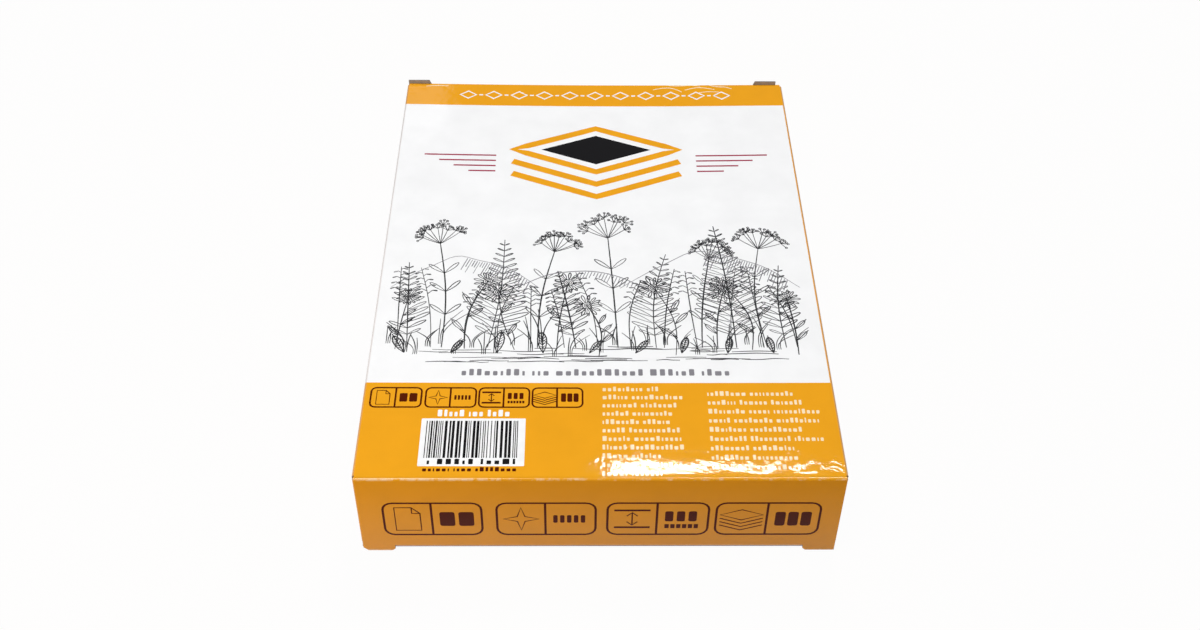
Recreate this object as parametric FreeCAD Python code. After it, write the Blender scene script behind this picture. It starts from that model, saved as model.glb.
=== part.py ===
"""Retail carton of A6 laminating pouches: a reverse-tuck folding carton and the stack inside it.

The carton lies on its back panel. X is its width, Y its length and Z its height, in millimetres.
The front end (-Y) closes with a lid creased to the top panel that tucks in over the bottom panel.
The rear end (+Y) is the same closure turned over: creased to the bottom panel, tucked under the top.
The origin is the middle of the footprint, on the surface that the carton lies on.
"""

import math
import os

import FreeCAD
import Part

Vector = FreeCAD.Vector

# Pouches
pouch_width = 111.0
pouch_length = 154.0
pouch_corner_radius = 3.0
pouch_count = 100
loose_pouches = 25  # modelled one by one above and below the core, which holds the rest
pouch_thickness = 0.24  # two films, pressed flat
pouch_pitch = 0.25

# Room round the stack
side_room = 3.2  # to the glue seam, and as much on the other side
end_room = 3.4  # to the dust flaps
stack_gap = 0.18  # between the stack and the tuck flap under it

# Folded board
board = 0.4  # thickness of the folding boxboard
fold_radius = 0.6  # outside radius of a creased fold
crease_gap = 0.05  # running clearance round a crease that moves
edge_gap = 0.1  # clearance between a raw edge and the panel in front of it
flap_gap = 0.3  # clearance between a lid and the dust flaps behind it

# Glue seam, inside the left side panel
seam_height = 15.0
seam_end_setback = 5.0
seam_end_taper = 4.0

# Lids and their tuck flaps
front_lid_inset = 0.4  # the front lid is this much narrower than the carton, each side
rear_lid_inset = 1.1
rear_lid_shift = -0.8  # the rear lid sits off centre, towards the left
slit_inset = 8.4  # from the carton's side to the slit; the lid beyond it is left standing as a shoulder
tuck_depth = 12.0  # from the fold line to the tip
tuck_drop_gap = 0.32  # free height between a tuck flap and the panel it slides on
tuck_side_inset = 2.0
tuck_corner_radius = 7.0
tuck_bend_radius = 2.0  # between the slits the board rounds inwards before it reaches the crease
tuck_bend_angle = math.radians(56)
shoulder_slant = 0.7
slit_gap = 0.2
slit_setback = 0.6
front_shoulder_chamfer = 1.2
rear_shoulder_rise = 1.0  # how far the rear shoulders stand above the top panel

# Dust flaps
dust_length = 34.0
dust_hinge_relief = 0.8  # from the lid's fold axis down to the flap's upper edge
dust_shoulder = 3.0
dust_taper = 0.24  # fall of the upper edge per unit of length
dust_lock_length = 7.0
dust_lock_relief = 1.45  # above the resting tuck flap, beside the crease
dust_tuck_relief = 3.0  # above the resting tuck flap, further in
dust_lower_chamfer = 11.0
dust_corner_radius = 3.0

# Worked out from the above
stack_height = (pouch_count - 1) * pouch_pitch + pouch_thickness
stack_floor = board + tuck_drop_gap + board + stack_gap
carton_height = stack_height + 2 * stack_floor
carton_width = pouch_width + 2 * (side_room + 2 * board)
carton_length = pouch_length + 2 * (end_room + flap_gap + 2 * board)
half_width = carton_width / 2
half_length = carton_length / 2
inner_fold_radius = fold_radius - board
socket_radius = fold_radius + crease_gap
lid_axis_y = -half_length + fold_radius
lid_axis_z = carton_height - fold_radius
tuck_floor_z = board + tuck_drop_gap
tuck_axis_z = tuck_floor_z + fold_radius
tuck_axis_y = -half_length + tuck_bend_radius - (tuck_bend_radius - fold_radius) * math.cos(tuck_bend_angle)
bend_z = tuck_axis_z + (tuck_bend_radius - fold_radius) * math.sin(tuck_bend_angle)
dust_face_y = -half_length + board + flap_gap
dust_axis_y = dust_face_y + fold_radius
dust_axis_x = half_width - fold_radius
raw_edge_y = -half_length + board + edge_gap
flat_half_width = half_width - fold_radius
slit_x = half_width - slit_inset


def box(low, high):
    size = [b - a for a, b in zip(low, high)]
    return Part.makeBox(*size, Vector(*low))


def rod_x(radius, y, z, x_low, x_high):
    return Part.makeCylinder(radius, x_high - x_low, Vector(x_low, y, z), Vector(1, 0, 0))


def rod_z(radius, x, y, z_low, z_high):
    return Part.makeCylinder(radius, z_high - z_low, Vector(x, y, z_low), Vector(0, 0, 1))


def one_solid(shape, name):
    shape = shape.removeSplitter()
    if len(shape.Solids) != 1:
        raise ValueError(f"{name} has {len(shape.Solids)} solids")
    return shape.Solids[0]


def rounded_outline(points, radii):
    """A closed wire through points in a plane, each corner rounded by an arc of its own radius."""
    edges = []
    count = len(points)
    starts = []
    ends = []
    for i in range(count):
        corner = points[i]
        back = (points[i - 1] - corner).normalize()
        ahead = (points[(i + 1) % count] - corner).normalize()
        radius = radii[i]
        if radius <= 0:
            starts.append(corner)
            ends.append(corner)
            continue
        half_turn = back.getAngle(ahead) / 2
        reach = radius / math.tan(half_turn)
        middle = (back + ahead).normalize() * (radius / math.sin(half_turn) - radius)
        starts.append(corner + back * reach)
        ends.append(corner + ahead * reach)
        edges.append(Part.Arc(starts[i], corner + middle, ends[i]).toShape())
    for i in range(count):
        a = ends[i]
        b = starts[(i + 1) % count]
        if a.distanceToPoint(b) > 1e-6:
            edges.append(Part.LineSegment(a, b).toShape())
    return Part.Wire(Part.__sortEdges__(edges))


def turned_over(shape):
    """The same closure at the rear end: half a turn about the carton's middle, across its width."""
    turned = shape.copy()
    turned.rotate(Vector(0, 0, carton_height / 2), Vector(1, 0, 0), 180)
    return turned


def tube_profile(y):
    """Cross-section of the glued tube: three creased corners, and a lapped one at the bottom left."""
    outer_points = [
        Vector(-half_width, y, 0),
        Vector(-half_width + board, y, 0),
        Vector(-half_width + board, y, fold_radius),
        Vector(-half_width + board + fold_radius, y, 0),
        Vector(half_width, y, 0),
        Vector(half_width, y, carton_height),
        Vector(-half_width, y, carton_height),
    ]
    outer = rounded_outline(outer_points, [0, 0, 0, 0, fold_radius, fold_radius, fold_radius])
    left = -half_width + board
    inner_points = [
        Vector(left + board, y, board),
        Vector(half_width - board, y, board),
        Vector(half_width - board, y, carton_height - board),
        Vector(left, y, carton_height - board),
        Vector(left, y, seam_height),
        Vector(left + board, y, seam_height),
    ]
    inner_radii = [inner_fold_radius] * 4 + [0, 0]
    inner = rounded_outline(inner_points, inner_radii)
    return Part.Face(outer).cut(Part.Face(inner))


def seam_end_cut(end):
    """Removes the glue seam near one end, so that its end slopes back from the dust flap."""
    left = -half_width + board
    y_end = end * half_length
    y_low = end * (-dust_axis_y - seam_end_setback)
    y_high = y_low - end * seam_end_taper
    points = [
        Vector(left, y_end, board),
        Vector(left, y_low, board),
        Vector(left, y_high, seam_height),
        Vector(left, y_end, seam_height),
    ]
    face = Part.Face(Part.makePolygon(points + points[:1]))
    return face.extrude(Vector(board, 0, 0))


def carton_body():
    """The glued tube: top, bottom and side panels, with sockets where the flaps' folds turn."""
    tube = tube_profile(dust_axis_y).extrude(Vector(0, -2 * dust_axis_y, 0))
    for end in (-1, 1):
        tube = tube.cut(seam_end_cut(end))
    top_strip = box(
        (-flat_half_width, lid_axis_y, carton_height - board),
        (flat_half_width, dust_axis_y, carton_height),
    )
    bottom_strip = box((-flat_half_width, raw_edge_y, 0), (flat_half_width, dust_axis_y, board))
    lid_socket = rod_x(socket_radius, lid_axis_y, lid_axis_z, -half_width, half_width)
    strips = [top_strip.cut(lid_socket), bottom_strip]
    strips += [turned_over(strip) for strip in strips]
    body = tube.fuse(strips)
    for x in (-dust_axis_x, dust_axis_x):
        for y in (-dust_axis_y, dust_axis_y):
            body = body.cut(rod_z(socket_radius, x, y, fold_radius, carton_height - fold_radius))
    return one_solid(body, "carton_body")


def tuck_bend(x_low, x_high):
    """The rounded foot of a lid: an arc of board from the flat panel to the tuck flap's crease."""
    def on_arc(radius, share):
        angle = share * tuck_bend_angle
        y = -half_length + tuck_bend_radius - radius * math.cos(angle)
        return Vector(x_low, y, bend_z - radius * math.sin(angle))

    outer = [on_arc(tuck_bend_radius, share) for share in (0, 0.5, 1)]
    inner = [on_arc(tuck_bend_radius - board, share) for share in (1, 0.5, 0)]
    edges = [
        Part.Arc(*outer).toShape(),
        Part.LineSegment(outer[2], inner[0]).toShape(),
        Part.Arc(*inner).toShape(),
        Part.LineSegment(inner[2], outer[0]).toShape(),
    ]
    return Part.Face(Part.Wire(edges)).extrude(Vector(x_high - x_low, 0, 0))


def lid(inset, shoulder_end_z, chamfer, shift):
    """One lid panel with its hinge fold and the two shoulders that the slits leave standing."""
    low_x = -half_width + inset + shift
    high_x = half_width - inset + shift
    left_slit = -slit_x + shift
    right_slit = slit_x + shift
    y = -half_length
    points = [
        Vector(low_x, y, lid_axis_z),
        Vector(low_x, y, shoulder_end_z + chamfer),
        Vector(low_x + chamfer, y, shoulder_end_z),
        Vector(left_slit - shoulder_slant, y, shoulder_end_z),
        Vector(left_slit, y, tuck_floor_z),
        Vector(left_slit, y, bend_z),
        Vector(right_slit, y, bend_z),
        Vector(right_slit, y, tuck_floor_z),
        Vector(right_slit + shoulder_slant, y, shoulder_end_z),
        Vector(high_x, y, shoulder_end_z),
        Vector(high_x, y, lid_axis_z),
    ]
    panel = Part.Face(Part.makePolygon(points + points[:1])).extrude(Vector(0, board, 0))
    fold = rod_x(fold_radius, lid_axis_y, lid_axis_z, low_x, high_x)
    tuck_socket = rod_x(socket_radius, tuck_axis_y, tuck_axis_z, left_slit, right_slit)
    bend = tuck_bend(left_slit, right_slit).cut(tuck_socket)
    return one_solid(panel.fuse([fold, bend]), "lid")


def tuck(shift):
    """The flap that slides inside the carton: a fold between the slits, ears and rounded corners."""
    fold_half = slit_x - slit_gap
    ear_half = half_width - tuck_side_inset
    ear_y = dust_face_y + board + slit_gap
    tip_y = lid_axis_y + tuck_depth
    z = tuck_floor_z
    outline = rounded_outline(
        [
            Vector(-fold_half + shift, tuck_axis_y, z),
            Vector(fold_half + shift, tuck_axis_y, z),
            Vector(fold_half + shift, ear_y, z),
            Vector(ear_half + shift, ear_y + slit_setback, z),
            Vector(ear_half + shift, tip_y, z),
            Vector(-ear_half + shift, tip_y, z),
            Vector(-ear_half + shift, ear_y + slit_setback, z),
            Vector(-fold_half + shift, ear_y, z),
        ],
        [0, 0, 0, 0, tuck_corner_radius, tuck_corner_radius, 0, 0],
    )
    panel = Part.Face(outline).extrude(Vector(0, 0, board))
    fold = rod_x(fold_radius, tuck_axis_y, tuck_axis_z, -fold_half + shift, fold_half + shift)
    return one_solid(panel.fuse(fold), "tuck")


def dust_flap(side):
    """A dust flap behind the front lid. side is -1 for the left flap and 1 for the right one."""
    tuck_top = tuck_floor_z + board
    lock_z = tuck_top + dust_lock_relief
    lower_z = tuck_top + dust_tuck_relief
    upper_z = lid_axis_z - dust_hinge_relief
    tip_upper_z = upper_z - dust_taper * (dust_length - dust_shoulder)
    corners = [
        (0, lock_z, 0),
        (dust_lock_length, lock_z, 0),
        (dust_lock_length + lower_z - lock_z, lower_z, 0),
        (dust_length - dust_lower_chamfer, lower_z, dust_corner_radius),
        (dust_length, lower_z + dust_lower_chamfer, dust_corner_radius),
        (dust_length, tip_upper_z, dust_corner_radius),
        (dust_shoulder, upper_z, 0),
        (0, upper_z, 0),
    ]
    points = [Vector(side * (dust_axis_x - s), dust_face_y, z) for s, z, _ in corners]
    outline = rounded_outline(points, [radius for _, _, radius in corners])
    panel = Part.Face(outline).extrude(Vector(0, board, 0))
    fold = rod_z(fold_radius, side * dust_axis_x, dust_axis_y, lock_z, upper_z)
    return one_solid(panel.fuse(fold), "dust_flap")


def pouch_plate(first, count):
    """A plate with the outline of a pouch, as thick as count pouches, with the first one's place."""
    half_x = pouch_width / 2
    half_y = pouch_length / 2
    z = stack_floor + first * pouch_pitch
    corners = [(-half_x, -half_y), (half_x, -half_y), (half_x, half_y), (-half_x, half_y)]
    outline = rounded_outline([Vector(x, y, z) for x, y in corners], [pouch_corner_radius] * 4)
    thickness = (count - 1) * pouch_pitch + pouch_thickness
    return Part.Face(outline).extrude(Vector(0, 0, thickness))


def loose_stack():
    """The lowest and the highest pouches, each flat on the one below with a hair of air between."""
    lowest = range(loose_pouches)
    highest = range(pouch_count - loose_pouches, pouch_count)
    return Part.makeCompound([pouch_plate(i, 1) for i in [*lowest, *highest]])


front_lid = lid(front_lid_inset, 0.0, front_shoulder_chamfer, 0.0)
rear_lid = turned_over(lid(rear_lid_inset, -rear_shoulder_rise, 0.0, rear_lid_shift))
pieces = {
    "carton_body": carton_body(),
    "front_lid": front_lid,
    "front_tuck": tuck(0.0),
    "front_dust_left": dust_flap(-1),
    "front_dust_right": dust_flap(1),
    "rear_lid": rear_lid,
    "rear_tuck": turned_over(tuck(rear_lid_shift)),
    "rear_dust_left": turned_over(dust_flap(-1)),
    "rear_dust_right": turned_over(dust_flap(1)),
    "pouches": loose_stack(),
    "pouch_core": pouch_plate(loose_pouches, pouch_count - 2 * loose_pouches),
}

os.makedirs("parts", exist_ok=True)
for name, shape in pieces.items():
    shape.exportStep(f"parts/{name}.step")
    bounds = shape.BoundBox
    size = f"{bounds.XLength:.2f} x {bounds.YLength:.2f} x {bounds.ZLength:.2f}"
    print(f"{name}: {size} mm, {len(shape.Solids)} solid(s), {shape.Volume:.1f} mm3, valid {shape.isValid()}")
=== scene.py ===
import math
import random

import bmesh
import bpy
from mathutils import Matrix, Vector


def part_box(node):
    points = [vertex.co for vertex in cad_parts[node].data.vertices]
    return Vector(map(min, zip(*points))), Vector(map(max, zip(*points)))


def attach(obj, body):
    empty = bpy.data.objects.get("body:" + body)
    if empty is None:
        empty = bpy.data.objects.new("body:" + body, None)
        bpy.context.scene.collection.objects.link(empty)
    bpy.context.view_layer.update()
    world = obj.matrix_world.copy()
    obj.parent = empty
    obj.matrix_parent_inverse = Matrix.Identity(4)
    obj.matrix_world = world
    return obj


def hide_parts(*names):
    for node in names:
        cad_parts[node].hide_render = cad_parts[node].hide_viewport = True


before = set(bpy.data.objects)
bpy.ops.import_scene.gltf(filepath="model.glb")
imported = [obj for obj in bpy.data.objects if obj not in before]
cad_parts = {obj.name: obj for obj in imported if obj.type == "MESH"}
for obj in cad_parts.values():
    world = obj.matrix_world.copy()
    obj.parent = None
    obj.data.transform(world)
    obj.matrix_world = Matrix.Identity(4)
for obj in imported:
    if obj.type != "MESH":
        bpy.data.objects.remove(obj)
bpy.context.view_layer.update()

mm = 0.001
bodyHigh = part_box("carton_body")[1]
topZ = bodyHigh[2]
halfWidth = bodyHigh[0]
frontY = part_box("front_lid")[0][1]
halfLength = -frontY
print("frame loaded: carton", round(2 * halfWidth / mm, 1), "x", round(2 * halfLength / mm, 1),
      "mm, top at", round(topZ / mm, 2))


# Shared helpers

def linear(hexColour):
    channels = [int(hexColour[i:i + 2], 16) / 255 for i in (1, 3, 5)]
    return tuple(c / 12.92 if c <= 0.04045 else ((c + 0.055) / 1.055) ** 2.4 for c in channels) + (1.0,)


def addNode(tree, kind, links=None, **settings):
    node = tree.nodes.new(kind)
    for name, value in settings.items():
        setattr(node, name, value)
    for socket, source in (links or {}).items():
        if isinstance(source, bpy.types.NodeSocket):
            tree.links.new(source, node.inputs[socket])
        else:
            node.inputs[socket].default_value = source
    return node


def maths(tree, operation, *values):
    return addNode(tree, "ShaderNodeMath", dict(enumerate(values)), operation=operation).outputs[0]


def ranged(tree, value, low, high, start=0.0, end=1.0):
    return addNode(tree, "ShaderNodeMapRange", {"Value": value, "From Min": low, "From Max": high,
                                                "To Min": start, "To Max": end}).outputs["Result"]


def mixed(tree, share, first, second):
    node = addNode(tree, "ShaderNodeMix", {"Factor": share, 6: first, 7: second}, data_type="RGBA")
    return node.outputs[2]


def noise(tree, place, size, detail, **settings):
    # size in mm
    inputs = {"Vector": place, "Scale": 1 / (size * mm), "Detail": detail, **settings}
    return addNode(tree, "ShaderNodeTexNoise", inputs).outputs["Fac"]


def newMaterial(name):
    material = bpy.data.materials.new(name)
    material.use_nodes = True
    tree = material.node_tree
    tree.nodes.clear()
    return material, tree


def addPiece(name, bm, body, materials):
    mesh = bpy.data.meshes.new(name)
    bm.to_mesh(mesh)
    bm.free()
    for material in materials:
        mesh.materials.append(material)
    piece = bpy.data.objects.new(name, mesh)
    bpy.context.scene.collection.objects.link(piece)
    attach(piece, body)
    return piece


# The top panel has settled on the stack, deepest in its far half, and it dips behind the front crease.
# Depths and places are in mm.
topSag = {"depth": 0.85, "rise": 1.6, "turn": 0.8}
creaseDip = {"start": 0.65, "lowest": 1.2, "reach": 7.5, "depth": 0.03}


def sagAt(x, y):
    lengthwise = max(0.0, min(1.0, (y + halfLength) / (2 * halfLength)))
    across = math.cos(math.pi * max(-1.0, min(1.0, x / halfWidth)) / 2)
    sag = topSag["depth"] * across * math.sin(math.pi * topSag["turn"] * lengthwise ** topSag["rise"])
    inside = (y + halfLength) / mm
    if inside > creaseDip["lowest"]:
        share = (creaseDip["reach"] - inside) / (creaseDip["reach"] - creaseDip["lowest"])
    else:
        share = (inside - creaseDip["start"]) / (creaseDip["lowest"] - creaseDip["start"])
    return (sag + creaseDip["depth"] * (0.5 - 0.5 * math.cos(math.pi * max(0.0, min(1.0, share))))) * mm


# Board and film finishes

ink = {"orange": "#EAA11A", "white": "#F4F4F4", "brown": "#521A03", "black": "#161517", "grey": "#858388",
       "crimson": "#A02C48", "creaseGlintCream": "#FFF1D2", "pen": "#39393B", "smallType": "#F9E3BA"}
film = {"waveSize": 26.0, "waveHeight": 0.030, "peelSize": 3.4, "peelHeight": 0.040, "grainSize": 1.0,
        "grainHeight": 0.0075, "roughness": 0.035, "ior": 1.42, "inkRoughness": 0.6}
# fold marks: the bare corners are wear, the pale streaks are partly wear and partly painted highlight, the
# grime is painted shade
foldWearAndPaintedLight = {"reach": 0.62, "streakSize": 2.4, "paleWearAndGlint": "#F6E7C6", "raw": "#857B70", "leftGlint": 0.1,
            "leftGlintEnd": -38.0, "leftGlintStart": -18.0, "paintedFoldShade": "#A6968F", "paintedFoldShadeShare": 0.42, "whitest": 0.8,
            "bareFrom": 0.12, "rubbedAndGlint": (0.5, 0.66)}
mottle = {"ink": (0.05, 4.0), "board": (0.025, 9.0)}  # how much the brightness varies, over how many mm
noiseSpan = (0.3, 0.7)  # most values of a noise lie between these
dullInkIor = 1.25  # brown and pen ink dry dull, and the film shines less over them


def filmNormal(tree):
    place = addNode(tree, "ShaderNodeTexCoord").outputs["Object"]
    normal = None
    for name, detail in (("wave", 1.0), ("peel", 3.0), ("grain", 2.0)):
        inputs = {"Height": noise(tree, place, film[name + "Size"], detail),
                  "Distance": film[name + "Height"] * mm}
        if normal:
            inputs["Normal"] = normal
        normal = addNode(tree, "ShaderNodeBump", inputs).outputs["Normal"]
    return normal


def finishLaminate(tree, colour, coatIor=film["ior"]):
    # gloss film over ink: a matt colour under one clear, slightly wavy coat
    normal = filmNormal(tree)
    shader = addNode(tree, "ShaderNodeBsdfPrincipled", {
        "Base Color": colour, "Roughness": film["inkRoughness"], "Specular IOR Level": 0.0,
        "Coat Weight": 1.0, "Coat Roughness": film["roughness"], "Coat IOR": coatIor, "Coat Normal": normal})
    addNode(tree, "ShaderNodeOutputMaterial", {"Surface": shader.outputs["BSDF"]})


def mottled(tree, colour, share, size):
    # solid offset ink is never quite even
    place = addNode(tree, "ShaderNodeTexCoord").outputs["Object"]
    value = ranged(tree, noise(tree, place, size, 4.0), *noiseSpan, 1 - share, 1 + share)
    return addNode(tree, "ShaderNodeHueSaturation", {"Value": value, "Color": colour}).outputs["Color"]


def foldWearGlintAndShade(tree, colour):
    # film whitens in streaks along the end folds, partly wear and partly a painted highlight for their glint;
    # painted shade greys the side folds; the film wears off the corners
    place = addNode(tree, "ShaderNodeTexCoord").outputs["Object"]
    reach = foldWearAndPaintedLight["reach"] * mm
    inner = (halfWidth - reach, halfLength - reach, topZ / 2 - reach)
    near = place
    for operation, inputs in (("SUBTRACT", {1: (0, 0, topZ / 2)}), ("ABSOLUTE", {}), ("SUBTRACT", {1: inner}),
                              ("SCALE", {3: 1 / reach}), ("MAXIMUM", {1: (0, 0, 0)})):
        near = addNode(tree, "ShaderNodeVectorMath", {0: near, **inputs}, operation=operation).outputs[0]
    x, y, z = addNode(tree, "ShaderNodeSeparateXYZ", {"Vector": near}).outputs

    def times(a, b):
        return maths(tree, "MULTIPLY", a, b)

    edge = maths(tree, "ADD", times(x, y), times(y, z))
    streak = noise(tree, place, foldWearAndPaintedLight["streakSize"], 5.0, Roughness=0.7)
    across = addNode(tree, "ShaderNodeSeparateXYZ", {"Vector": place}).outputs["X"]
    # painted highlight: the pale streaks grow stronger towards the left end of the folds, standing in for a
    # glint
    leftGlint = ranged(tree, across, foldWearAndPaintedLight["leftGlintEnd"] * mm, foldWearAndPaintedLight["leftGlintStart"] * mm,
                      foldWearAndPaintedLight["leftGlint"], 0.0)
    rubbedAndGlint = ranged(tree, maths(tree, "ADD", streak, leftGlint), *foldWearAndPaintedLight["rubbedAndGlint"])
    whitenedAndGlint = maths(tree, "MINIMUM", times(edge, rubbedAndGlint), foldWearAndPaintedLight["whitest"])
    worn = mixed(tree, whitenedAndGlint, colour, linear(foldWearAndPaintedLight["paleWearAndGlint"]))
    # painted shade: the side folds are greyed where their rounding turns away from the light
    sideFoldShade = maths(tree, "MINIMUM", times(z, x), foldWearAndPaintedLight["paintedFoldShadeShare"])
    worn = mixed(tree, sideFoldShade, worn, linear(foldWearAndPaintedLight["paintedFoldShade"]))
    corner = maths(tree, "GREATER_THAN", times(times(x, y), z), foldWearAndPaintedLight["bareFrom"])
    return mixed(tree, corner, worn, linear(foldWearAndPaintedLight["raw"]))


def inkMaterial(name, hexColour, coatIor):
    material, tree = newMaterial(name)
    finishLaminate(tree, mottled(tree, linear(hexColour), *mottle["ink"]), coatIor)
    return material


# Where the white field ends: y of the two bands, and how far the orange wraps over the folds, in mm
cartonPrint = {"farBand": 69.9, "nearBand": -49.7, "rightWrap": 0.65, "sideWrap": 1.1}


def cartonPrintMaterial():
    # gloss laminated boxboard, offset printed: an orange band at each end of a white field
    material, tree = newMaterial("printedBoxboard")
    place = addNode(tree, "ShaderNodeTexCoord").outputs["Object"]
    axes = addNode(tree, "ShaderNodeSeparateXYZ", {"Vector": place}).outputs
    limits = [("Y", "LESS_THAN", cartonPrint["farBand"] * mm),
              ("Y", "GREATER_THAN", cartonPrint["nearBand"] * mm),
              ("X", "LESS_THAN", halfWidth - cartonPrint["rightWrap"] * mm),
              ("Z", "GREATER_THAN", topZ - cartonPrint["sideWrap"] * mm)]
    field = 1.0
    for axis, operation, limit in limits:
        field = maths(tree, "MULTIPLY", field, maths(tree, operation, axes[axis], limit))
    colour = mixed(tree, field, linear(ink["orange"]), linear(ink["white"]))
    finishLaminate(tree, foldWearGlintAndShade(tree, mottled(tree, colour, *mottle["board"])))
    return material


def orangePrintMaterial():
    material, tree = newMaterial("orangeBoxboard")
    finishLaminate(tree, foldWearGlintAndShade(tree, mottled(tree, linear(ink["orange"]), *mottle["board"])))
    return material


rawBoard = {"inside": "#A79F94", "edge": "#81736D", "fibreSize": 0.5, "fibreHeight": 0.02,
            "fibreTone": (0.86, 1.12), "speckSize": 1.1, "speckEdge": (0.05, 0.16), "speckTone": 0.72,
            "roughness": 0.85}


def rawBoardMaterial(name, hexColour):
    # recycled greyboard, uncoated: short fibres, dark specks, no shine
    material, tree = newMaterial(name)
    place = addNode(tree, "ShaderNodeTexCoord").outputs["Object"]
    fibre = noise(tree, place, rawBoard["fibreSize"], 5.0, Distortion=1.5)
    speckScale = 1 / (rawBoard["speckSize"] * mm)
    speck = addNode(tree, "ShaderNodeTexVoronoi", {"Vector": place, "Scale": speckScale})
    dark = ranged(tree, speck.outputs["Distance"], *rawBoard["speckEdge"], rawBoard["speckTone"], 1.0)
    tone = maths(tree, "MULTIPLY", dark, ranged(tree, fibre, *noiseSpan, *rawBoard["fibreTone"]))
    shade = addNode(tree, "ShaderNodeHueSaturation", {"Value": tone, "Color": linear(hexColour)})
    bump = addNode(tree, "ShaderNodeBump", {"Height": fibre, "Distance": rawBoard["fibreHeight"] * mm})
    shader = addNode(tree, "ShaderNodeBsdfPrincipled", {
        "Base Color": shade.outputs["Color"], "Roughness": rawBoard["roughness"],
        "Normal": bump.outputs["Normal"]})
    addNode(tree, "ShaderNodeOutputMaterial", {"Surface": shader.outputs["BSDF"]})
    return material


cartonPrinted = cartonPrintMaterial()
orangePrinted = orangePrintMaterial()
boardInside = rawBoardMaterial("greyboardInside", rawBoard["inside"])
boardEdge = rawBoardMaterial("greyboardCutEdge", rawBoard["edge"])
inks = {name: inkMaterial(name + "Ink", colour, dullInkIor if name in ("brown", "pen") else film["ior"])
        for name, colour in ink.items()}
print("materials made")


# Board pieces: each keeps its CAD shape, with smooth folds and printed, raw and cut faces told apart

gridStep = 4 * mm
dipRow = 0.5  # mm between the extra rows of vertices in the dip behind the front crease
cutFacing = 0.7  # a face of the tube that looks further than this along it is a cut end
innerReach = 5 * mm  # an outer face lies further than this from the tube's middle line, the way it looks
topPanelDepth = 1.2 * mm  # the top panel's vertices lie no further than this below its top
flapFacing = 0.5  # a flap's printed face looks further than this outwards, and its raw face as far inwards
smoothUnder = math.radians(50)  # a turn sharper than this shows as an edge
# The bottom panel's front edge, drawn back under the lid's foot, in mm
bottomEdge = {"under": 0.45, "behindFront": 0.5, "near": 0.02, "setBack": 0.7}
# How far the printed fold reaches from the outer face
lidFold, tuckFold, dustFold = 1.3 * mm, 1.95 * mm, 1.2 * mm
dustLeft, dustRight = (0, -1, dustFold - halfWidth), (0, 1, halfWidth - dustFold)
boardPieces = {  # a fold is given by its axis, its side and the place where it begins
    "frontLid": {"node": "front_lid", "outward": (0, -1, 0), "fold": (2, 1, topZ - lidFold)},
    "frontTuck": {"node": "front_tuck", "outward": (0, 0, -1), "fold": (1, -1, frontY + tuckFold)},
    "frontDustLeft": {"node": "front_dust_left", "outward": (0, -1, 0), "fold": dustLeft},
    "frontDustRight": {"node": "front_dust_right", "outward": (0, -1, 0), "fold": dustRight},
    "rearLid": {"node": "rear_lid", "outward": (0, 1, 0), "fold": (2, -1, lidFold)},
    "rearTuck": {"node": "rear_tuck", "outward": (0, 0, 1), "fold": (1, 1, -frontY - tuckFold)},
    "rearDustLeft": {"node": "rear_dust_left", "outward": (0, 1, 0), "fold": dustLeft},
    "rearDustRight": {"node": "rear_dust_right", "outward": (0, 1, 0), "fold": dustRight},
}


def skinOf(nodeName):
    bm = bmesh.new()
    bm.from_mesh(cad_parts[nodeName].data)
    bmesh.ops.remove_doubles(bm, verts=bm.verts, dist=0.002 * mm)
    bmesh.ops.dissolve_limit(bm, angle_limit=math.radians(0.5), verts=bm.verts, edges=bm.edges)
    return bm


def cutAcross(bm, axis, places):
    normal = [0.0, 0.0, 0.0]
    normal[axis] = 1.0
    for place in places:
        geometry = bm.verts[:] + bm.edges[:] + bm.faces[:]
        bmesh.ops.bisect_plane(bm, geom=geometry, dist=0.001 * mm, plane_co=[n * place for n in normal],
                               plane_no=normal)


def cutGrid(bm, step):
    for axis, reach in ((0, halfWidth), (1, halfLength)):
        count = int(2 * reach / step)
        cutAcross(bm, axis, [-reach + 2 * reach * i / count for i in range(1, count)])
    rows = int((creaseDip["reach"] - creaseDip["start"]) / dipRow)
    cutAcross(bm, 1, [frontY + (creaseDip["start"] + dipRow * (i + 0.5)) * mm for i in range(rows)])


def smoothFolds(piece):
    for face in piece.data.polygons:
        face.use_smooth = True
    piece.data.set_sharp_from_angle(angle=smoothUnder)
    weighted = piece.modifiers.new("flatPanels", "WEIGHTED_NORMAL")
    weighted.keep_sharp = True
    weighted.weight = 100


def makeCartonBody():
    bm = skinOf("carton_body")
    for vert in bm.verts:
        behind = vert.co.y - frontY - bottomEdge["behindFront"] * mm
        if vert.co.z < bottomEdge["under"] * mm and abs(behind) < bottomEdge["near"] * mm:
            vert.co.y += bottomEdge["setBack"] * mm
    cutGrid(bm, gridStep)
    for face in bm.faces:
        centre = face.calc_center_median()
        outward = face.normal.x * centre.x + face.normal.z * (centre.z - topZ / 2)
        if abs(face.normal.y) > cutFacing:
            face.material_index = 2
        elif outward < innerReach:
            face.material_index = 1
    for vert in bm.verts:
        if vert.co.z > topZ - topPanelDepth:
            vert.co.z -= sagAt(vert.co.x, vert.co.y)
    body = addPiece("cartonBody", bm, "carton", [cartonPrinted, boardInside, boardEdge])
    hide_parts("carton_body")
    smoothFolds(body)


def makeFlap(name, spec):
    bm = skinOf(spec["node"])
    outward = Vector(spec["outward"])
    axis, side, limit = spec["fold"]
    for face in bm.faces:
        facing = face.normal.dot(outward)
        onFold = (face.calc_center_median()[axis] - limit) * side > 0
        if not onFold and facing < flapFacing:
            face.material_index = 1 if facing < -flapFacing else 2
    flap = addPiece(name, bm, spec["node"], [orangePrinted, boardInside, boardEdge])
    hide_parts(spec["node"])
    smoothFolds(flap)


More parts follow.
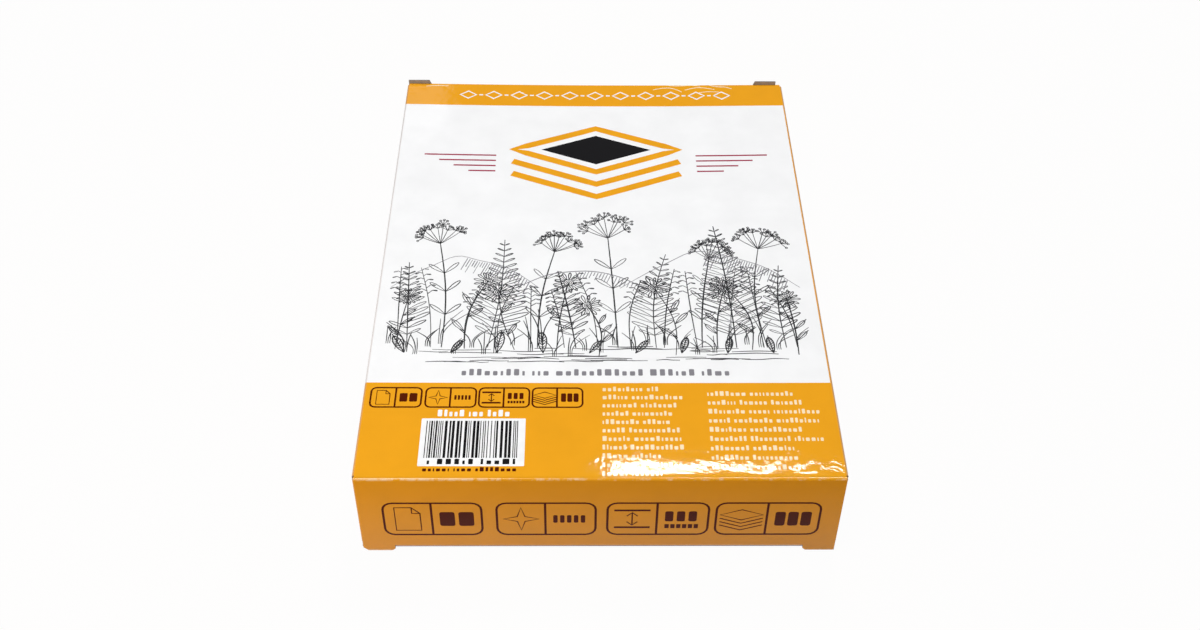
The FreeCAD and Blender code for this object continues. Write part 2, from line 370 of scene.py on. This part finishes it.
makeCartonBody()
for name, spec in boardPieces.items():
    makeFlap(name, spec)
print("board pieces made:", 1 + len(boardPieces))


# Laminating pouches: polyester film outside, milky adhesive inside, pressed into a stack

pouch = {"film": "#E4EAED", "shadow": "#A3AFB8", "pitch": 0.25, "layer": 0.55, "layerLength": 45.0,
         "unevenLayerShade": (0.36, 0.62), "seamShadeShare": 0.35, "edgeHeight": 0.08, "roughness": 0.24, "ior": 1.57}


def pouchMaterial():
    material, tree = newMaterial("laminatingFilm")
    place = addNode(tree, "ShaderNodeTexCoord").outputs["Object"]
    height = addNode(tree, "ShaderNodeSeparateXYZ", {"Vector": place}).outputs["Z"]
    # painted shade: the shadow colour darkens thin lines between the pouches and uneven bands where pouches
    # sit back
    turns = maths(tree, "MULTIPLY", height, 2 * math.pi / (pouch["pitch"] * mm))
    edge = ranged(tree, maths(tree, "SINE", turns), -1.0, 1.0)
    level = 1 / (pouch["layerLength"] * mm)
    layers = addNode(tree, "ShaderNodeVectorMath", {0: place, 1: (level, level, 1 / (pouch["layer"] * mm))},
                     operation="MULTIPLY")
    unevenLayerShade = addNode(tree, "ShaderNodeTexNoise", {"Vector": layers.outputs[0], "Scale": 1.0, "Detail": 3.0})
    tone = ranged(tree, unevenLayerShade.outputs["Fac"], *pouch["unevenLayerShade"])
    share = maths(tree, "MULTIPLY_ADD", edge, pouch["seamShadeShare"], tone)
    colour = mixed(tree, share, linear(pouch["shadow"]), linear(pouch["film"]))
    bump = addNode(tree, "ShaderNodeBump", {"Height": tone, "Distance": pouch["edgeHeight"] * mm})
    shader = addNode(tree, "ShaderNodeBsdfPrincipled", {
        "Base Color": colour, "Roughness": pouch["roughness"], "IOR": pouch["ior"],
        "Normal": bump.outputs["Normal"]})
    addNode(tree, "ShaderNodeOutputMaterial", {"Surface": shader.outputs["BSDF"]})
    return material


pouchFilm = pouchMaterial()
for nodeName in ("pouches", "pouch_core"):
    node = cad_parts[nodeName]
    node.data.materials.clear()
    node.data.materials.append(pouchFilm)
print("pouches dressed")


# Print: lines are thin ribbons of ink, and type is rows of small blocks; places and sizes in mm

# An ink film's height over the board, more than real so that it never flickers, and its thickness, in mm
inkLift, inkThickness = 0.012, 0.01
overInk = 2.2  # how many times as high ink lies on ink
strokeFlat = 0.02  # the share of a round stroke's height that an ink line keeps
finePrint = 4000  # a print with this many faces follows the sag without the grid's cuts
random.seed(611)


def penStrokes(name, strokes):
    # each stroke: points in mm, line width in mm, closed or not, smooth or straight
    curve = bpy.data.curves.new(name, "CURVE")
    curve.dimensions = "3D"
    curve.bevel_depth = 0.5 * mm
    curve.bevel_resolution = 0
    curve.use_fill_caps = True
    curve.resolution_u = 3
    for points, width, closed, smooth in strokes:
        spline = curve.splines.new("NURBS" if smooth else "POLY")
        spline.points.add(len(points) - 1)
        for i, (x, y) in enumerate(points):
            taper = 1.0
            if smooth and not closed:  # thin where the pen sets down and lifts
                taper = 0.35 + 0.65 * math.sin(math.pi * (0.15 + 0.7 * i / (len(points) - 1)))
            spline.points[i].co = (x * mm, y * mm, 0, 1)
            spline.points[i].radius = width * taper
        spline.use_cyclic_u = closed
        if smooth:
            spline.order_u = 3
            spline.use_endpoint_u = not closed
    holder = bpy.data.objects.new(name, curve)
    bpy.context.scene.collection.objects.link(holder)
    bpy.context.view_layer.update()
    mesh = bpy.data.meshes.new_from_object(holder.evaluated_get(bpy.context.evaluated_depsgraph_get()))
    bm = bmesh.new()
    bm.from_mesh(mesh)
    for face in bm.faces:
        face.smooth = False
    bpy.data.objects.remove(holder)
    bpy.data.curves.remove(curve)
    bpy.data.meshes.remove(mesh)
    return bm


def addBlock(bm, x, y, width, height, radius):
    # a flat printed rectangle with rounded corners, its corner at x, y, in mm
    made = bmesh.ops.create_grid(bm, x_segments=1, y_segments=1, size=0.5)
    verts = made["verts"]
    bmesh.ops.scale(bm, verts=verts, vec=(width * mm, height * mm, 1))
    bmesh.ops.translate(bm, verts=verts, vec=((x + width / 2) * mm, (y + height / 2) * mm, 0))
    if radius > 0:
        bmesh.ops.bevel(bm, geom=verts, offset=radius * mm, offset_type="OFFSET", affect="VERTICES",
                        segments=3, profile=0.5, material=-1)


def placeOnTop(bm, lift):
    if len(bm.faces) < finePrint:
        cutGrid(bm, gridStep)
    bmesh.ops.scale(bm, verts=bm.verts, vec=(1, 1, strokeFlat))
    for vert in bm.verts:
        vert.co.z += topZ + lift * mm - sagAt(vert.co.x, vert.co.y)
    return bm


def placeOnFront(bm, lift):
    bmesh.ops.scale(bm, verts=bm.verts, vec=(1, 1, strokeFlat))
    turn = Matrix.Rotation(math.radians(90), 4, "X")
    bmesh.ops.transform(bm, verts=bm.verts, matrix=Matrix.Translation((0, frontY - lift * mm, 0)) @ turn)
    return bm


def thicken(piece):
    solid = piece.modifiers.new("inkFilm", "SOLIDIFY")
    solid.thickness = inkThickness * mm
    solid.offset = 0.0


def roundedPath(left, low, right, high, radius, steps=4):
    corners = [(right - radius, high - radius, 0), (left + radius, high - radius, 90),
               (left + radius, low + radius, 180), (right - radius, low + radius, 270)]
    return [(cx + radius * math.cos(math.radians(start + 90 * i / steps)),
             cy + radius * math.sin(math.radians(start + 90 * i / steps)))
            for cx, cy, start in corners for i in range(steps + 1)]


# Gaps between blocks and words, and block widths, in one unit; block heights as shares of their row's
typeGap, wordGap = 0.56, 1.3
blockWidths = (0.42, 0.78, 0.78, 0.9, 1.15)
blockHeights = (0.68, 0.68, 1.0)


def typeRow(bm, left, base, width, height, words):
    # one line of blocks of unequal width and height, grouped as words
    shapes = []
    for letters in words:
        shapes += [[random.choice(blockWidths), typeGap] for _ in range(letters)]
        shapes[-1][1] = wordGap
    unit = width / (sum(wide + gap for wide, gap in shapes) - wordGap)
    x = left
    for wide, gap in shapes:
        tall = height * random.choice(blockHeights)
        addBlock(bm, x, base, wide * unit, tall, min(0.12 * height, 0.28 * wide * unit))
        x += (wide + gap) * unit


# Four badges on the top panel and four larger ones on the front lid

badge = {"topBoxes": [(-57.5, -44.8), (-43.7, -31.1), (-30.3, -17.7), (-16.9, -4.3)], "topLow": -58.1,
         "topHigh": -51.5, "frontBoxes": [(-53.0, -29.0), (-25.3, -1.1), (1.8, 26.6), (28.5, 54.0)],
         "frontLow": 6.4, "frontHigh": 18.7, "divider": 0.49}
# Rows of small blocks beside a badge's sign: count, then rise, gap, height and corner as shares of its height
badgeRows = {1: [(5, 0.38, 0.05, 0.24, 0.03)], 2: [(3, 0.42, 0.07, 0.32, 0.04), (6, 0.2, 0.03, 0.13, 0.015)]}


def badgeStrokes(left, low, right, high, kind):
    tall = high - low
    line = 0.02 * tall + 0.33
    middle = left + badge["divider"] * (right - left)
    strokes = [(roundedPath(left, low, right, high, 0.2 * tall), line, True, False),
               ([(middle, low), (middle, high)], line, False, False)]
    cx = (left + middle) / 2
    cy = (low + high) / 2
    s = 0.36 * tall
    thin = 0.6 * line
    if kind == 0:  # a sheet with a turned corner
        strokes.append(([(cx - 0.7 * s, cy - s), (cx + 0.7 * s, cy - s), (cx + 0.7 * s, cy + 0.5 * s),
                         (cx + 0.25 * s, cy + s), (cx - 0.7 * s, cy + s)], thin, True, False))
        turned = [(cx + 0.25 * s, cy + s), (cx + 0.25 * s, cy + 0.5 * s), (cx + 0.7 * s, cy + 0.5 * s)]
        strokes.append((turned, thin, False, False))
    elif kind == 1:  # a four-pointed glint
        star = []
        for i in range(8):
            reach = s if i % 2 == 0 else 0.3 * s
            turn = math.radians(45 * i)
            star.append((cx + reach * math.sin(turn), cy + reach * math.cos(turn)))
        strokes.append((star, thin, True, False))
    elif kind == 2:  # two plates held a set distance apart
        for side in (-1, 1):
            plate, barb, tip = cy + side * 0.75 * s, cy + side * 0.25 * s, cy + side * 0.55 * s
            strokes.append(([(cx - s, plate), (cx + s, plate)], 1.2 * line, False, False))
            strokes.append(([(cx - 0.3 * s, barb), (cx, tip), (cx + 0.3 * s, barb)], thin, False, False))
        strokes.append(([(cx, cy - 0.5 * s), (cx, cy + 0.5 * s)], thin, False, False))
    else:  # a pile of sheets seen from a corner
        for i in range(4):
            rise = (-0.55 + 0.3 * i) * s
            points = [(cx - 1.2 * s, cy + rise), (cx, cy + rise - 0.45 * s), (cx + 1.2 * s, cy + rise)]
            strokes.append((points + ([(cx, cy + rise + 0.45 * s)] if i == 3 else []), thin, i == 3, False))
    return strokes


def badgeType(bm, left, low, right, high, kind):
    tall = high - low
    start = left + (badge["divider"] + 0.08) * (right - left)
    width = 0.35 * (right - left)
    if kind in (0, 3):
        count = 2 if kind == 0 else 3
        cell = width / (count + 0.25 * (count - 1))
        for i in range(count):
            addBlock(bm, start + 1.25 * cell * i, low + 0.28 * tall, cell, 0.44 * tall, 0.05 * tall)
    for count, rise, gap, height, corner in badgeRows.get(kind, []):
        for i in range(count):
            addBlock(bm, start + width * i / count, low + rise * tall, width / count - gap * tall,
                     height * tall, corner * tall)


def makeBadges(name, boxes, low, high, place, body):
    strokes = []
    blocks = bmesh.new()
    for kind, (left, right) in enumerate(boxes):
        strokes += badgeStrokes(left, low, right, high, kind)
        badgeType(blocks, left, low, right, high, kind)
    lines = place(penStrokes(name + "Lines", strokes), inkLift)
    addPiece(name + "Lines", lines, body, [inks["brown"]])
    thicken(addPiece(name + "Blocks", place(blocks, inkLift), body, [inks["brown"]]))


makeBadges("topBadge", badge["topBoxes"], badge["topLow"], badge["topHigh"], placeOnTop, "carton")
makeBadges("frontBadge", badge["frontBoxes"], badge["frontLow"], badge["frontHigh"], placeOnFront,
           "front_lid")
print("badges printed")


# Rows of type, the bar block and the border on the far band

border = {"reach": 40.0, "y": 75.4, "pitch": 8.0, "half": (2.5, 1.9), "line": 0.62, "gap": 0.9}
# Left, base, width and height of a row, and the blocks in each of its words
typeRows = {"number": (-40.3, -61.2, 17.8, 2.2, (5, 3, 4)), "small": (-42.8, -78.9, 22.5, 1.3, (6, 4, 8)),
            "underDrawing": (-35.2, -47.1, 68.5, 2.3, (9, 3, 11, 6, 4))}
# Left, first base, pitch and rows of a column, and the least and most width of its rows
typeColumns = [(0.8, -52.6, 2.78, 11, (14, 21)), (27.2, -54.2, 3.02, 9, (17, 29))]
columnRow = {"height": 1.6, "perBlock": 1.15, "drift": 0.04}
bars = {"box": (-44.1, -77.3, 25.7, 15.4), "corner": 0.3, "left": 1.3, "right": 1.6, "foot": 2.6,
        "shorter": 3.4, "widths": (0.22, 0.22, 0.44, 0.66), "gaps": (0.24, 0.24, 0.46, 0.62),
        "typeInset": 2.2, "typeRise": 0.6, "typeHeight": 1.7, "words": (1, 5, 5)}


def lineOfWords(letters):
    # word lengths that add up to about so many blocks
    words = []
    while letters > 11:
        words.append(random.randint(4, 9))
        letters -= words[-1]
    return words + [max(letters, 2)]


def makeBorder():
    # a chain of lozenges and dashes along the far band
    y, (w, h) = border["y"], border["half"]
    count = int(2 * border["reach"] / border["pitch"])
    strokes = []
    for i in range(count + 1):
        x = -border["reach"] + border["pitch"] * i
        strokes.append(([(x - w, y), (x, y - h), (x + w, y), (x, y + h)], border["line"], True, False))
        if i < count:
            dash = [(x + w + border["gap"], y), (x + border["pitch"] - w - border["gap"], y)]
            strokes.append((dash, border["line"], False, False))
    addPiece("borderPrint", placeOnTop(penStrokes("borderPrint", strokes), inkLift), "carton",
             [inks["white"]])


def makeWhitePrint():
    bm = bmesh.new()
    typeRow(bm, *typeRows["number"])
    columns = bmesh.new()
    for left, first, pitch, rows, (least, most) in typeColumns:
        for row in range(rows):
            width = random.uniform(least, most)
            words = lineOfWords(int(width / columnRow["perBlock"]))
            typeRow(columns, left - columnRow["drift"] * row, first - pitch * row, width, columnRow["height"],
                    words)
    addBlock(bm, *bars["box"], bars["corner"])
    thicken(addPiece("whitePrint", placeOnTop(bm, inkLift), "carton", [inks["white"]]))
    thicken(addPiece("typeColumns", placeOnTop(columns, inkLift), "carton", [inks["smallType"]]))


def makeBlackPrint():
    bm = bmesh.new()
    left, low, width, height = bars["box"]
    x = left + bars["left"]
    while x < left + width - bars["right"]:
        bar = random.choice(bars["widths"])
        addBlock(bm, x, low + bars["foot"], bar, height - bars["shorter"], 0)
        x += bar + random.choice(bars["gaps"])
    typeRow(bm, left + bars["typeInset"], low + bars["typeRise"], width - 2 * bars["typeInset"],
            bars["typeHeight"], bars["words"])
    thicken(addPiece("barPrint", placeOnTop(bm, overInk * inkLift), "carton", [inks["black"]]))
    bm = bmesh.new()
    typeRow(bm, *typeRows["small"])
    thicken(addPiece("smallPrint", placeOnTop(bm, inkLift), "carton", [inks["brown"]]))
    bm = bmesh.new()
    typeRow(bm, *typeRows["underDrawing"])
    thicken(addPiece("rowUnderDrawing", placeOnTop(bm, inkLift), "carton", [inks["grey"]]))


makeBorder()
makeWhitePrint()
makeBlackPrint()
print("type blocks and bars printed")


# A plain device in the middle of the field: sheets lying one over the other, a dark card on the highest,
# and rules at both sides

device = {"centre": (0.0, 42.0), "half": (25.0, 10.6), "step": 5.8, "line": 2.5, "card": 0.66,
          "rulePitch": 2.5, "ruleDrop": 1.0, "ruleLine": 0.62, "ruleStart": 30.0,
          "ruleEnds": (38.0, 42.5, 47.0, 51.5)}


def steppedLine(x, y, endX, endY, count):
    return [(x + (endX - x) * i / count, y + (endY - y) * i / count) for i in range(count + 1)]


def makeDevice():
    cx, cy = device["centre"]
    w, h = device["half"]
    sheets = []
    for i in range(3):
        y = cy + device["step"] * (i - 1)
        points = steppedLine(cx - w, y, cx, y - h, 6) + steppedLine(cx, y - h, cx + w, y, 6)[1:]
        if i == 2:
            points += steppedLine(cx + w, y, cx, y + h, 6)[1:] + steppedLine(cx, y + h, cx - w, y, 6)[1:-1]
        sheets.append((points, device["line"], i == 2, False))
    addPiece("sheetDevice", placeOnTop(penStrokes("sheetDevice", sheets), inkLift), "carton",
             [inks["orange"]])
    rules = []
    for i, end in enumerate(device["ruleEnds"]):
        y = cy + device["rulePitch"] * (i - 1.5) - device["ruleDrop"]
        for side in (-1, 1):
            rule = steppedLine(cx + side * device["ruleStart"], y, cx + side * end, y, 6)
            rules.append((rule, device["ruleLine"], False, False))
    addPiece("deviceRules", placeOnTop(penStrokes("deviceRules", rules), inkLift), "carton",
             [inks["crimson"]])
    bm = bmesh.new()
    y = cy + device["step"]
    bmesh.ops.create_grid(bm, x_segments=6, y_segments=6, size=math.sqrt(0.5) * device["card"] * mm)
    bmesh.ops.rotate(bm, verts=bm.verts, matrix=Matrix.Rotation(math.radians(45), 3, "Z"))
    bmesh.ops.scale(bm, verts=bm.verts, vec=(w, h, 1))
    bmesh.ops.translate(bm, verts=bm.verts, vec=(cx * mm, y * mm, 0))
    thicken(addPiece("deviceCard", placeOnTop(bm, inkLift), "carton", [inks["black"]]))


makeDevice()
print("device printed")


# Pen drawing of meadow plants in front of far hills

meadow = {"left": -55.5, "right": 54.5, "ground": -37.0, "stem": 0.42, "leaf": 0.3, "fine": 0.25}


def along(path, t):
    # the point a share t of the way up a stem, and the stem's heading there
    step = min(int(t * (len(path) - 1)), len(path) - 2)
    part = t * (len(path) - 1) - step
    (ax, ay), (bx, by) = path[step], path[step + 1]
    return ax + (bx - ax) * part, ay + (by - ay) * part, math.atan2(by - ay, bx - ax)


def stem(x, y, tall, lean, bend):
    return [(x + lean * t * t + bend * math.sin(math.pi * t), y + tall * t) for t in (0, 0.25, 0.5, 0.75, 1)]


def polar(x, y, reach, heading):
    return x + reach * math.cos(heading), y + reach * math.sin(heading)


def leaf(x, y, size, heading, plump=0.3):
    # one leaf outline, out along one side and back along the other
    return [(x, y), polar(x, y, 0.5 * size, heading + plump), polar(x, y, size, heading),
            polar(x, y, 0.5 * size, heading - plump), (x, y)]


def grassTuft(x, y, tall, blades):
    strokes = []
    for i in range(blades):
        lean = random.uniform(-0.55, 0.55) * tall
        blade = stem(x + 0.5 * i, y, tall * random.uniform(0.6, 1.0), lean, -0.15 * lean)
        strokes.append((blade, meadow["leaf"], False, True))
    return strokes


def oatGrass(x, y, tall, lean):
    # a thin stalk with seeds hanging from its upper third
    path = stem(x, y, tall, lean, random.uniform(-1, 1))
    strokes = [(path, meadow["leaf"], False, True)]
    for i in range(9):
        px, py, heading = along(path, 0.66 + 0.038 * i)
        side = 1 if i % 2 else -1
        ex, ey = polar(px, py, 1.9 - 0.14 * i, heading + side * 0.9)
        strokes.append(([(px, py), (ex, ey)], meadow["fine"], False, False))
        strokes.append((leaf(ex, ey, 1.5, heading + side * 1.9, 0.3), meadow["fine"], False, True))
    return strokes


def fern(x, y, tall, lean):
    path = stem(x, y, tall, lean, random.uniform(-2, 2))
    strokes = [(path, meadow["stem"], False, True)]
    count = int(tall / 2.3)
    for i in range(2, count):
        px, py, heading = along(path, i / count)
        size = 0.3 * tall * (1.08 - i / count) * min(1.0, i / 4)
        for side in (-1, 1):
            strokes.append((leaf(px, py, size, heading + side * 1.05, 0.22), meadow["leaf"], False, True))
    return strokes


def umbel(x, y, tall, lean):
    # a hollow-stemmed plant that carries its flowers on spokes
    path = stem(x, y, tall, lean, random.uniform(-2, 2))
    strokes = [(path, meadow["stem"], False, True)]
    hx, hy, heading = along(path, 1)
    for i in range(9):
        spoke = heading + (i - 4) * 0.25 + random.uniform(-0.09, 0.09)
        reach = 0.19 * tall * (1 - 0.04 * abs(i - 4)) * random.uniform(0.82, 1.12)
        ex, ey = polar(hx, hy, reach, spoke)
        bent = polar(hx, hy, 0.55 * reach, spoke + 0.08 * (i - 4) / 4)
        strokes.append(([(hx, hy), bent, (ex, ey)], meadow["leaf"], False, True))
        for k in range(5):
            turn = spoke + (k - 2) * 0.55 + random.uniform(-0.15, 0.15)
            tip = polar(ex, ey, 0.05 * tall * random.uniform(0.7, 1.2), turn)
            strokes.append(([(ex, ey), tip], meadow["fine"], False, False))
            strokes.append((roundedPath(tip[0] - 0.32, tip[1] - 0.32, tip[0] + 0.32, tip[1] + 0.32, 0.31, 2),
                            meadow["fine"], True, False))
    for t in (0.3, 0.52, 0.7):
        px, py, turn = along(path, t)
        for side in (-1, 1):
            strokes.append((leaf(px, py, 0.16 * tall, turn + side * 0.8, 0.25), meadow["leaf"], False, True))
    return strokes


def daisy(x, y, tall, lean):
    path = stem(x, y, tall, lean, random.uniform(-2.5, 2.5))
    strokes = [(path, meadow["stem"], False, True)]
    hx, hy, _ = along(path, 1)
    size = random.uniform(3.6, 5.0)
    for i in range(13):
        turn = 2 * math.pi * i / 13 + random.uniform(-0.05, 0.05)
        fx, fy = polar(hx, hy, 0.28 * size, turn)
        petal = leaf(fx, fy, size * random.uniform(0.62, 0.78), turn, 0.34)
        strokes.append((petal, meadow["leaf"], False, True))
    for reach in (0.28, 0.17, 0.07):
        r = reach * size
        ring = roundedPath(hx - r, hy - r, hx + r, hy + r, 0.98 * r, 3)
        strokes.append((ring, meadow["leaf"], True, False))
    for t in (0.25, 0.45, 0.62):
        px, py, turn = along(path, t)
        side = random.choice((-1, 1))
        blade = leaf(px, py, 0.24 * tall, turn + side * 0.75, 0.35)
        strokes.append((blade, meadow["leaf"], False, True))
        strokes.append(([blade[0], blade[2]], meadow["fine"], False, False))
    return strokes


def broadLeaf(x, y, size, heading):
    # a ground leaf with its midrib and side veins
    strokes = [(leaf(x, y, size, heading, 0.42), meadow["stem"], False, True)]
    tip = polar(x, y, 0.97 * size, heading)
    strokes.append(([(x, y), tip], meadow["leaf"], False, False))
    for i in range(2, 8):
        px, py = polar(x, y, size * i / 9, heading)
        for side in (-1, 1):
            end = polar(px, py, 0.16 * size * math.sin(math.pi * i / 9), heading + side * 0.7)
            strokes.append(([(px, py), end], meadow["fine"], False, False))
    return strokes


def hillLine(left, right, base, tall, hatch):
    # a far hill: its outline, and slanting shade lines on one side of it
    steps = 7
    outline = [(left + (right - left) * i / steps,
                base + tall * math.sin(math.pi * i / steps) * random.uniform(0.85, 1.1))
               for i in range(steps + 1)]
    strokes = [(outline, meadow["leaf"], False, True)]
    for i in range(hatch):
        t = 0.5 + 0.45 * i / hatch
        px, py, _ = along(outline, t)
        long = random.uniform(0.15, 0.4) * tall
        strokes.append(([(px, py - 0.4), (px - 0.35 * long, py - 0.4 - long)], meadow["fine"], False, False))
    return strokes


def drawWith(name, strokes, inkName):
    # the pen presses harder on some strokes, and none runs off the sheet
    left, right = meadow["left"] - 1, meadow["right"] + 1.5
    kept = [(points, width * random.uniform(0.7, 1.15), closed, smooth)
            for points, width, closed, smooth in strokes if all(left < x < right for x, y in points)]
    addPiece(name, placeOnTop(penStrokes(name, kept), inkLift), "carton", [inks[inkName]])
    print(name, "strokes:", len(kept))


def makeMeadow():
    ground = meadow["ground"]
    hills = hillLine(-56, -16, -14, 13, 26) + hillLine(-24, 14, -15, 9, 20) + hillLine(6, 55, -14, 16, 34)
    drawWith("hillDrawing", hills, "grey")
    strokes = []
    for x, tall, lean in ((-50, 33, -2), (-29, 43, 3), (-6, 30, -5), (15, 37, 4), (36, 49, -3), (49, 32, 1)):
        strokes += fern(x, ground, tall, lean)
    for x, tall, lean in ((-41, 41, -3), (-16, 38, 4), (5, 44, -2), (27, 35, 4), (44, 39, 1)):
        strokes += umbel(x, ground, tall, lean)
    for x, tall, lean in ((-53, 20, 2), (-35, 26, 5), (-22, 22, -5), (-11, 26, 3), (0, 19, -3), (20, 26, -5),
                          (31, 22, 3), (40, 25, -6), (52, 21, -1)):
        strokes += daisy(x, ground - random.uniform(0, 3), tall, lean)
    for i in range(13):
        x = meadow["left"] + 3 + 8.7 * i
        strokes += oatGrass(x, ground, random.uniform(18, 34), random.uniform(-6, 6))
    x = meadow["left"]
    while x < meadow["right"]:
        strokes += grassTuft(x, ground + random.uniform(-3.5, 1.5), random.uniform(6, 14), 3)
        x += random.uniform(2.6, 5.0)
    for i in range(9):
        x = meadow["left"] + 5 + 12 * i
        strokes += broadLeaf(x, ground - 2, random.uniform(6, 9), math.radians(random.uniform(50, 130)))
    for i in range(40):
        long = random.uniform(5, 17)
        x = random.uniform(meadow["left"], meadow["right"] - long)
        y = ground - 5.3 + 6 * random.random() ** 1.5
        line = [(x, y), (x + 0.35 * long, y + random.uniform(-0.5, 0.5)),
                (x + 0.7 * long, y + random.uniform(-0.5, 0.5)), (x + long, y)]
        strokes.append((line, meadow["leaf"], False, True))
    drawWith("meadowDrawing", strokes, "pen")


makeMeadow()
print("drawing printed")


# The film has lifted in a few creases where the far band was knocked; the cream strokes are partly its
# whitening and partly a painted highlight for the lifted film's glints

creaseLine = 0.34  # mm
creaseLift = 1.5  # how many times as high as ink
creaseGlintStrokes = [
    [(18.5, 78.6), (22.0, 79.9), (25.5, 79.2), (27.5, 77.4)],
    [(23.0, 81.0), (26.5, 80.4), (30.0, 81.2), (33.5, 80.6)],
    [(28.5, 78.4), (31.0, 79.6), (34.5, 79.8), (38.0, 78.7)],
    [(33.0, 77.0), (36.0, 77.9), (39.5, 77.2)],
    [(36.5, 80.9), (39.0, 79.9), (41.5, 80.2), (43.5, 79.0)],
    [(-53.5, 79.6), (-50.0, 80.3), (-46.5, 79.9)],
]


def makeCreaseGlints():
    strokes = [(points, creaseLine, False, True) for points in creaseGlintStrokes]
    addPiece("creaseGlintStrokes", placeOnTop(penStrokes("creaseGlintStrokes", strokes), creaseLift * inkLift), "carton",
             [inks["creaseGlintCream"]])


makeCreaseGlints()
print("film creases made")


# Floor, light and camera

# The paper glows evenly to the camera; in reflections the strip just before the carton glows and the paper
# beyond is darker, a painted reflection on the front panel's film
backdrop = {"half": 3.0, "glow": 0.97, "paintedReflectionGlow": 0.92, "paintedReflectionReach": 22.0, "paper": "#CCB6A6",
            "paintedReflectionPaper": "#6E6259"}


def makeFloor():
    bm = bmesh.new()
    bmesh.ops.create_grid(bm, x_segments=1, y_segments=1, size=backdrop["half"])
    mesh = bpy.data.meshes.new("studioFloor")
    bm.to_mesh(mesh)
    bm.free()
    material, tree = newMaterial("whitePaper")
    ray = addNode(tree, "ShaderNodeLightPath").outputs
    place = addNode(tree, "ShaderNodeTexCoord").outputs["Object"]
    depth = addNode(tree, "ShaderNodeSeparateXYZ", {"Vector": place}).outputs["Y"]
    # painted reflection: glow seen only by glossy rays, strongest at the carton's front
    near = ranged(tree, depth, frontY - backdrop["paintedReflectionReach"] * mm, frontY, 0.0, backdrop["paintedReflectionGlow"])
    paintedReflection = maths(tree, "MULTIPLY", ray["Is Glossy Ray"], near)
    seen = maths(tree, "ADD", ray["Is Camera Ray"], ray["Is Transmission Ray"])
    share = maths(tree, "MULTIPLY_ADD", seen, backdrop["glow"], paintedReflection)
    tone = mixed(tree, ray["Is Glossy Ray"], linear(backdrop["paper"]), linear(backdrop["paintedReflectionPaper"]))
    paper = addNode(tree, "ShaderNodeBsdfDiffuse", {"Color": tone})
    glow = addNode(tree, "ShaderNodeEmission", {"Color": linear("#FFFFFF"), "Strength": 1.0})
    mix = addNode(tree, "ShaderNodeMixShader", {0: share, 1: paper.outputs[0], 2: glow.outputs[0]})
    addNode(tree, "ShaderNodeOutputMaterial", {"Surface": mix.outputs[0]})
    mesh.materials.append(material)
    floor = bpy.data.objects.new("studioFloor", mesh)
    bpy.context.scene.collection.objects.link(floor)


lamps = {
    "windowLamp": {"at": (0.149, 0.612, 1.005), "aim": (0.03, -0.081, 0.028), "size": (0.26, 0.17),
                   "watts": 6.0},
    "farPane": {"at": (-0.163, 1.034, 0.733), "aim": (-0.05, 0.07, 0.028), "size": (0.07, 0.07),
                "watts": 0.014},
    "ceilingLamp": {"at": (-0.35, -0.15, 1.5), "aim": (0, 0, 0), "size": (0.6, 0.6), "watts": 6.4},
    "deskLamp": {"at": (-0.12, -0.2, 0.45), "aim": (-0.03, -0.06, 0.015), "size": (0.2, 0.2), "watts": 0.52},
    "frontLamp": {"at": (-0.24, -0.24, 0.07), "aim": (-0.03, -0.08, 0.015), "size": (0.1, 0.1),
                  "watts": 0.26, "colour": "#FFF0E2"},
}
air = {"colour": "#F4F6FA", "light": 0.264, "reflected": 0.14}


def makeLamps():
    for name, spec in lamps.items():
        light = bpy.data.lights.new(name, "AREA")
        light.shape = "RECTANGLE"
        light.size, light.size_y = spec["size"]
        light.energy = spec["watts"]
        light.color = linear(spec.get("colour", "#FFFFFF"))[:3]
        lamp = bpy.data.objects.new(name, light)
        lamp.location = spec["at"]
        lamp.rotation_euler = (Vector(spec["aim"]) - Vector(spec["at"])).to_track_quat("-Z", "Y").to_euler()
        bpy.context.scene.collection.objects.link(lamp)
    world = bpy.data.worlds.new("studioAir")
    world.use_nodes = True
    tree = world.node_tree
    tree.nodes["Background"].inputs["Color"].default_value = linear(air["colour"])
    ray = addNode(tree, "ShaderNodeLightPath").outputs
    strength = ranged(tree, ray["Is Glossy Ray"], 0.0, 1.0, air["light"], air["reflected"])
    strength = maths(tree, "MAXIMUM", strength, ray["Is Camera Ray"])
    tree.links.new(strength, tree.nodes["Background"].inputs["Strength"])
    bpy.context.scene.world = world


# Fitted to the photograph's corners: place in mm, focal length in its pixels
shot = {"at": (-6.09, -303.8, 296.91), "elevation": 43.999, "azimuth": -1.337, "roll": 1.011,
        "focal": 1455.2, "photoWidth": 1200, "sensor": 36.0}


def makeCamera():
    elevation, azimuth, roll = (math.radians(shot[key]) for key in ("elevation", "azimuth", "roll"))
    back = Vector((math.sin(azimuth) * math.cos(elevation), -math.cos(azimuth) * math.cos(elevation),
                   math.sin(elevation)))
    right = Vector((math.cos(azimuth), math.sin(azimuth), 0))
    up = back.cross(right)
    turned = math.cos(roll) * right + math.sin(roll) * up
    up = back.cross(turned)
    data = bpy.data.cameras.new("photoCamera")
    data.sensor_width = shot["sensor"]
    data.sensor_fit = "HORIZONTAL"
    data.lens = shot["focal"] / shot["photoWidth"] * shot["sensor"]
    data.clip_start = 0.01
    camera = bpy.data.objects.new("photoCamera", data)
    camera.matrix_world = Matrix.Translation(Vector(shot["at"]) * mm) @ Matrix(
        (turned, up, back)).transposed().to_4x4()
    bpy.context.scene.collection.objects.link(camera)
    bpy.context.scene.camera = camera


makeFloor()
makeLamps()
makeCamera()
bpy.context.scene.view_settings.view_transform = "Standard"
print("floor, light and camera set")
